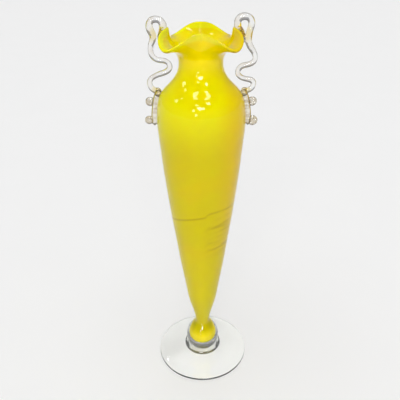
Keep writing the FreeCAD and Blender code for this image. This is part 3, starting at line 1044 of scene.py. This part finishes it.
@dataclass(frozen=True)
class ThreadHandle(GlassPiece):
    """Clear thread from the lip's high point, through a loop and bends, down to the shoulder."""

    side: Side
    node: str
    route_shares: tuple[Pair, ...]
    lip_seat_shares: tuple[float, ...]
    drop_shares: tuple[float, float, float, float]
    swell_shares: tuple[float, ...]
    smear_shares: tuple[float, ...]
    slot: Slot = Slot.THREAD
    form: VaseForm = FORM
    radius: float = 2.4
    reach: float = 17.0
    stand_share: float = 0.70
    smear_start: float = 0.99
    smear_degrees: float = 27.0
    smear_fall: float = 0.10
    smear_stand: float = 0.85
    smear_rows: int = 24
    sway: float = 0.7
    sways: float = 1.3
    swell: float = 0.04
    swell_waves: Pair = (29.0, 67.0)
    ball_shares: Triple = (1.1, 1.45, 1.7)
    rows: int = 150
    grain: float = 0.34
    melt_passes: int = 7

    def lip_pair(self, share: float, stand: float) -> Array:
        """(radius, height) off the lip's outer side at its high point."""
        return self.form.lip_places(np.zeros(1), share, -stand)[0]

    def path(self) -> Array:
        """Middle line of the thread, with a slight sway out of its plane."""
        form = self.form
        stand = self.stand_share * self.radius
        high_radius, high_height = form.lip_guides(np.zeros(1))[-1][0]
        seat = form.body_place(form.seat_level, -stand)
        pairs = [self.lip_pair(share, stand) for share in self.lip_seat_shares]
        for out, up in self.route_shares:
            radius = between(seat[0], high_radius, up) + out * self.reach
            pairs.append((radius, between(form.seat_level, high_height + form.loop_rise, up)))
        line = strand([self.side.place(pair) for pair in [*pairs, seat]], self.rows)
        along = np.linspace(0.0, 1.0, len(line))
        line[:, 1] = self.sway * np.sin(2 * self.sways * math.pi * along) * np.sin(math.pi * along)
        return line

    def smear(self) -> Rings:
        """Rings of the thread's first end, melted on along the lip's outer side towards the front."""
        turns = np.linspace(0.0, self.smear_degrees, len(self.smear_shares))
        angles = np.radians(-turns if self.side is Side.RIGHT else turns - 180.0)
        shares = np.linspace(self.smear_start, self.smear_start - self.smear_fall, len(angles))
        radii = [size * self.radius for size in self.smear_shares]
        points = []
        for angle, share, radius in zip(angles, shares, radii):
            out, height = self.form.lip_places(np.array([angle]), share, -self.smear_stand * radius)[0]
            points.append((out * math.cos(angle), out * math.sin(angle), height))
        return tube_rings(strand(points, self.smear_rows), stretched(radii, self.smear_rows))

    def build(self) -> Piece:
        """Builds the handle's mesh: the thread, its drop and smear on the lip, and its shoulder drop."""
        along = np.linspace(0.0, 1.0, self.rows)
        quick, quicker = self.swell_waves
        waves = np.sin(quick * along + 0.8 * self.side.value) + 0.6 * np.sin(quicker * along)
        radii = self.radius * stretched(self.swell_shares, self.rows) * (1 + self.swell * waves)
        share, *sizes = self.drop_shares
        stand, width, height = np.multiply(sizes, self.radius)
        lip_drop = drop_rings(self.side.place(self.lip_pair(share, stand)), (width, width, height))
        stand, width, height = np.multiply(self.ball_shares, self.radius)
        middle = self.side.place(self.form.body_place(self.form.seat_level, -stand))
        lumps = [tube_rings(self.path(), radii), lip_drop, self.smear(),
                 drop_rings(middle, (width, width, height))]
        return fused(self.node + "_glass", lumps, self.grain, self.melt_passes)


@dataclass(frozen=True)
class CrimpedTrail(GlassPiece):
    """Clear strip down the shoulder with pinched round tabs that carry the crimping tool's waffle."""

    side: Side
    node: str
    tab_shares: tuple[Pair, ...]
    slot: Slot = Slot.THREAD
    form: VaseForm = FORM
    radius: float = 2.7
    stand_share: float = 0.85
    swell: float = 0.06
    length: float = 28.6
    tab_radius: float = 4.2
    tab_reach: float = 11.3
    tab_wall: float = 2.6
    waffle_pitch: float = 1.7
    waffle_depth: float = 0.28
    waffle_lift: float = 1.6
    waffle_fade: Pair = (1.15, 0.35)
    tab_dish: float = 0.14
    grain: float = 0.26
    melt_passes: int = 5

    def tabs(self) -> list[tuple[Array, float]]:
        """Middle and radius of each tab."""
        found = []
        for down, size in self.tab_shares:
            radius = size * self.tab_radius
            pair = self.form.body_place(self.form.seat_level - down * self.length, radius - self.tab_reach)
            found.append((self.side.place(pair), radius))
        return found

    def tab_rings(self, middle: Array, radius: float) -> Rings:
        """Rings of points on a round tab with soft edges and slightly dished faces."""
        half = 0.5 * self.tab_wall
        angles = spokes(40)
        edge = [(radius - half + half * math.cos(turn), half * math.sin(turn))
                for turn in np.linspace(-0.5 * math.pi, 0.5 * math.pi, 9)]
        flat = [(share * (radius - half), 1 - self.tab_dish + self.tab_dish * share)
                for share in (0.0, 0.3, 0.6, 0.85)]
        rows = [(out, -half * wide) for out, wide in flat] + edge
        rows += [(out, half * wide) for out, wide in flat[::-1]]
        level = np.ones_like(angles)
        return [middle + np.column_stack([out * np.sin(angles), across * level, out * np.cos(angles)])
                for out, across in rows]

    def crimp(self, piece: Piece) -> None:
        """Presses the waffle into both faces of every tab."""
        points = np.empty(len(piece.data.vertices) * 3, np.float32)
        piece.data.vertices.foreach_get("co", points)
        points = points.reshape(-1, 3) / METRE
        edge, fade = self.waffle_fade
        pitch = math.pi / self.waffle_pitch
        for middle, radius in self.tabs():
            away = points - middle
            near = np.clip(edge - np.hypot(away[:, 0], away[:, 2]) / radius, 0.0, fade) / fade
            face = np.clip(abs(away[:, 1]) / (0.5 * self.tab_wall), 0.0, 1.0) ** 2
            lean = (away[:, 0] + away[:, 2]) * math.sqrt(0.5)
            other = (away[:, 0] - away[:, 2]) * math.sqrt(0.5)
            pattern = np.abs(np.sin(pitch * lean)) * np.abs(np.sin(pitch * other))
            press = self.waffle_depth * (1.0 - self.waffle_lift * pattern)
            points[:, 1] -= np.sign(away[:, 1]) * near * face * press
        piece.data.vertices.foreach_set("co", (points * METRE).ravel())
        piece.data.update()

    def build(self) -> Piece:
        """Builds the trail's mesh."""
        heights = [self.form.seat_level - share * self.length for share in (0.0, 0.25, 0.5, 0.75, 1.0)]
        depth = -self.stand_share * self.radius
        line = strand([self.side.place(self.form.body_place(height, depth)) for height in heights], 40)
        radii = self.radius * (1 + self.swell * np.sin(np.linspace(0.0, 11.0, len(line))))
        lumps = [tube_rings(line, radii)] + [self.tab_rings(middle, radius) for middle, radius in self.tabs()]
        piece = fused(self.node + "_glass", lumps, self.grain, self.melt_passes)
        self.crimp(piece)
        return piece


@dataclass(frozen=True)
class SoftLamp:
    """Soft oval lamp that points at the vase and only shows as a highlight in its gloss."""

    name: str
    direction: Triple
    radius: float
    radiance: float
    stretch: float = 1.0
    distance: float = 1.7
    middle: Triple = (0.0, 0.0, 0.30)

    def place(self) -> None:
        """Makes the lamp, at a distance from the middle of the vase in the given direction."""
        data = bpy.data.lights.new(self.name, "AREA")
        data.shape = "ELLIPSE"
        data.size = 2 * self.radius * self.stretch
        data.size_y = 2 * self.radius
        data.energy = self.radiance * math.pi * math.pi * self.radius**2 * self.stretch
        lamp = linked(self.name, data)
        away = Vector(self.direction).normalized()
        lamp.location = Vector(self.middle) + away * self.distance
        lamp.rotation_euler = away.to_track_quat("Z", "Y").to_euler()
        lamp.visible_diffuse = False
        lamp.visible_transmission = False


@dataclass(frozen=True)
class WideLight:
    """Wide soft light from afar, which lights floor and vase evenly and doesn't show in the gloss."""

    name: str
    direction: Triple
    level: float
    spread_degrees: float

    def place(self) -> None:
        """Makes the light. At level 1 a white surface square to it shows as white."""
        data = bpy.data.lights.new(self.name, "SUN")
        data.energy = self.level * math.pi
        data.angle = math.radians(self.spread_degrees)
        light = linked(self.name, data)
        light.rotation_euler = Vector(self.direction).to_track_quat("Z", "Y").to_euler()
        light.visible_glossy = False
        light.visible_transmission = False


@dataclass(frozen=True)
class Studio:
    """Pale floor, plain soft lamps, a white background and the camera."""

    camera_place: Triple = (0.0, -0.4321, 0.4537)
    pitch_degrees: float = 60.56
    roll_degrees: float = -0.34
    lens: float = 43.12
    sensor: float = 36.0
    shift: float = -0.0043
    floor_radii: tuple[float, ...] = (0.0, 0.1, 0.4, 1.2, 3.5, 12.0)
    floor_drop: float = 0.12
    horizon_light: float = 0.80
    front_light: float = 0.10
    front_glass_light: float = 0.5
    back_light: float = 0.60
    fill_light: float = 0.46
    gloss_loss: float = 0.55
    turn_span: Pair = (-0.25, 0.75)
    horizon_span: Pair = (0.0, 0.6)
    lights: tuple[WideLight, ...] = (
        WideLight("front_light", (-0.05, -0.93, 0.37), 0.31, 40.0),
        WideLight("top_light", (-0.1, -0.1, 1.0), 0.34, 60.0),
        WideLight("back_light", (0.1, 0.85, 0.5), 0.10, 60.0),
    )
    lamps: tuple[SoftLamp, ...] = (
        SoftLamp("front_lamp", (-0.03, -0.85, 0.54), 0.21, 26.0, 1.4),
        SoftLamp("side_lamp", (-0.35, -0.86, 0.36), 0.09, 16.0),
        SoftLamp("left_ceiling_lamp", (-0.205, -0.285, 0.935), 0.075, 14.0, 2.6),
        SoftLamp("right_ceiling_lamp", (0.24, -0.275, 0.935), 0.075, 14.0, 3.2),
        SoftLamp("left_window", (-0.60, -0.09, 0.79), 0.07, 14.0),
        SoftLamp("left_near_lamp", (-0.17, -0.68, 0.71), 0.12, 16.0),
        SoftLamp("right_near_lamp", (0.29, -0.56, 0.78), 0.16, 20.0),
        SoftLamp("low_lamp", (-0.23, -0.97, 0.12), 0.09, 20.0),
        SoftLamp("far_left_lamp", (-0.77, -0.05, 0.63), 0.13, 11.0, 1.6),
        SoftLamp("far_right_lamp", (0.47, 0.02, 0.88), 0.14, 16.0, 1.4),
        SoftLamp("foot_lamp", (-0.179, 0.726, 0.664), 0.009, 36.0, 1.8, 1.472),
    )

    def floor(self) -> None:
        """Makes the floor, a wide disc a hair below the foot's resting plane."""
        rings = turned([(radius / METRE, -self.floor_drop) for radius in self.floor_radii])
        floor = skin("pale_floor", rings)
        floor.data.flip_normals()
        floor.data.materials.append(PaleFloor().material())

    def world(self) -> None:
        """Makes the world: an even fill, a dimmer room in the gloss, and white to the camera."""
        world = bpy.data.worlds.new("studio")
        world.use_nodes = True
        world.node_tree.nodes.clear()
        wires = Wiring(world.node_tree)
        way = wires.node("SeparateXYZ", {0: wires.node("TexCoord").outputs["Generated"]})
        path = wires.node("LightPath")
        front = wires.maths("MULTIPLY", path.outputs["Is Transmission Ray"], self.front_glass_light)
        front = wires.maths("ADD", front, self.front_light)
        seen = wires.step(way.outputs[1], *self.turn_span, front, self.back_light)
        low = wires.step(way.outputs[2], *self.horizon_span, 1.0, 0.0)
        seen = wires.blend(low, seen, grey(self.horizon_light))
        lost = wires.maths("MULTIPLY", path.outputs["Is Glossy Ray"], self.gloss_loss)
        seen = wires.blend(lost, seen, grey(0.0))
        filled = wires.maths("GREATER_THAN", path.outputs["Diffuse Depth"], 0.5)
        strength = wires.blend(filled, seen, grey(self.fill_light))
        strength = wires.blend(path.outputs["Is Camera Ray"], strength, grey(1.0))
        light = wires.node("Background", {"Color": grey(1.0), "Strength": strength})
        wires.node("OutputWorld", {"Surface": light.outputs[0]})
        bpy.context.scene.world = world

    def camera(self) -> None:
        """Makes the camera at the photograph's viewing angle."""
        data = bpy.data.cameras.new("view")
        data.lens = self.lens
        data.sensor_width = self.sensor
        data.shift_x = self.shift
        data.clip_start = 0.01
        camera = linked("view", data)
        turn = Matrix.Rotation(math.radians(self.pitch_degrees), 4, "X")
        turn = turn @ Matrix.Rotation(math.radians(self.roll_degrees), 4, "Z")
        camera.matrix_world = Matrix.Translation(self.camera_place) @ turn
        bpy.context.scene.camera = camera

    def build(self) -> None:
        """Makes everything round the vase."""
        self.camera()
        self.floor()
        self.world()
        for light in self.lights + self.lamps:
            light.place()
        bpy.context.scene.view_settings.view_transform = "Standard"


LEFT_HANDLE = ThreadHandle(
    side=Side.LEFT,
    node="left_handle",
    route_shares=(
        (0.114, 0.925), (0.25, 0.958), (0.466, 0.97), (0.687, 0.952), (0.762, 0.9), (0.693, 0.84),
        (0.566, 0.785), (0.521, 0.733), (0.59, 0.667), (0.598, 0.58), (0.472, 0.505), (0.19, 0.46),
        (-0.156, 0.447), (-0.405, 0.408), (-0.468, 0.36), (-0.352, 0.31), (-0.059, 0.276), (0.321, 0.234),
        (0.526, 0.182), (0.519, 0.126), (0.382, 0.07)),
    lip_seat_shares=(0.76, 0.88, 1.0),
    drop_shares=(0.86, 0.80, 1.30, 2.60),
    swell_shares=(1.3, 1.35, 1.35, 1.2, 1.3, 1.3, 1.05, 0.95, 1.0, 1.0, 1.05, 1.0, 1.0, 1.05, 1.1),
    smear_shares=(1.3, 1.25, 1.2, 0.9, 0.5),
)
RIGHT_HANDLE = ThreadHandle(
    side=Side.RIGHT,
    node="right_handle",
    route_shares=(
        (0.068, 0.955), (0.225, 0.99), (0.45, 1.0), (0.655, 0.98), (0.739, 0.925), (0.659, 0.853),
        (0.559, 0.78), (0.498, 0.706), (0.547, 0.64), (0.676, 0.577), (0.775, 0.512), (0.721, 0.441),
        (0.501, 0.4), (0.151, 0.38), (-0.108, 0.34), (-0.199, 0.276), (-0.065, 0.222), (0.271, 0.192),
        (0.573, 0.155), (0.519, 0.085)),
    lip_seat_shares=(0.66, 0.78, 0.89, 1.0),
    drop_shares=(0.84, 0.92, 1.60, 3.00),
    swell_shares=(1.35, 1.35, 1.4, 1.25, 1.25, 1.3, 1.3, 1.05, 1.0, 1.05, 1.0, 1.0, 1.05, 1.0, 1.05),
    smear_shares=(1.4, 1.55, 1.55, 1.35, 0.8),
)
TRAILS = (
    CrimpedTrail(Side.LEFT, "left_crimped_trail", ((0.31, 1.02), (0.89, 0.97))),
    CrimpedTrail(Side.RIGHT, "right_crimped_trail", ((0.315, 1.05), (0.92, 1.16))),
)


def main() -> None:
    """Builds and dresses every piece."""
    logging.basicConfig(level=logging.INFO, format="%(name)s %(message)s")
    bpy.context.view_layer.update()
    effects = GlassEffects(ripple_group(), wear_group(), cloud_group())
    knop = ClearGlass(effects, "clear_knop_glass", lumps=42.0, fine=0.1, ripple_depth=0.0008, clean=0.005,
                      smeared=0.026)
    casing = replace(knop, name="clear_casing_glass", index=1.3, shade=0.96)
    # The grey tint of foot and collar is partly the glass's own and partly painted shade, darker to hold down
    # the lamp light seen through them.
    foot = ClearGlass(effects, "clear_foot_glass", tint=(0.885, 0.89, 0.875, 1.0), lumps=34.0, smeared=0.026,
                      shade=0.95, painted_edge_shade_share=0.25)
    # The thread's grey edges are painted shade.
    thread = ClearGlass(effects, "clear_thread_glass", tint=(0.99, 0.988, 0.98, 1.0), cloud_share=0.5,
                        cloud=(0.84, 0.75, 0.62, 1.0), cloud_grain=62.0, cloud_start=0.46, lumps=160.0,
                        edge=(0.46, 0.42, 0.39, 1.0), painted_edge_shade_share=0.9, painted_edge_shade_start=0.08,
                        stain_places=((0.037, 0.375, 0.011), (0.0405, 0.326, 0.006)))
    trail = ClearGlass(effects, "crimped_trail_glass", tint=(0.88, 0.85, 0.77, 1.0), cloud_share=1.0,
                       cloud=(0.62, 0.50, 0.32, 1.0), cloud_grain=420.0, cloud_start=0.46, lumps=260.0,
                       clean=0.05, smeared=0.2, shade=0.8, painted_edge_shade_share=0.3)
    cased = YellowGlass(effects, "opaque_yellow_glass", gloss=0.0)
    # Pale lip colour on the rim: a painted highlight band.
    edge = YellowGlass(effects, "lip_edge_painted_highlight_glass", gloss=0.35, lip=(0.92, 0.88, 0.0, 1.0))
    # The open inside's lip colour is painted light too, a little dimmer than the cased lip.
    bare = YellowGlass(effects, "open_yellow_glass", gloss=0.26, lip=(0.90, 0.74, 0.0, 1.0))
    melted = ClearGlass(effects, "melted_thread_glass", tint=(0.98, 0.97, 0.93, 1.0), index=1.0)
    YellowLining().dress(cased.material(), edge.material(), bare.material())
    cover = ClearCasing().dress(knop.material(), casing.material())
    foot_material = foot.material()
    DiscFoot().dress(foot_material)
    StemCollar().dress(foot_material)
    thread_materials = thread.material(), melted.material()
    for handle in (LEFT_HANDLE, RIGHT_HANDLE):
        melt_in(handle.dress(*thread_materials), cover)
    trail_material = trail.material()
    for strip in TRAILS:
        strip.dress(trail_material)
    Studio().build()


if __name__ == "__main__":
    main()
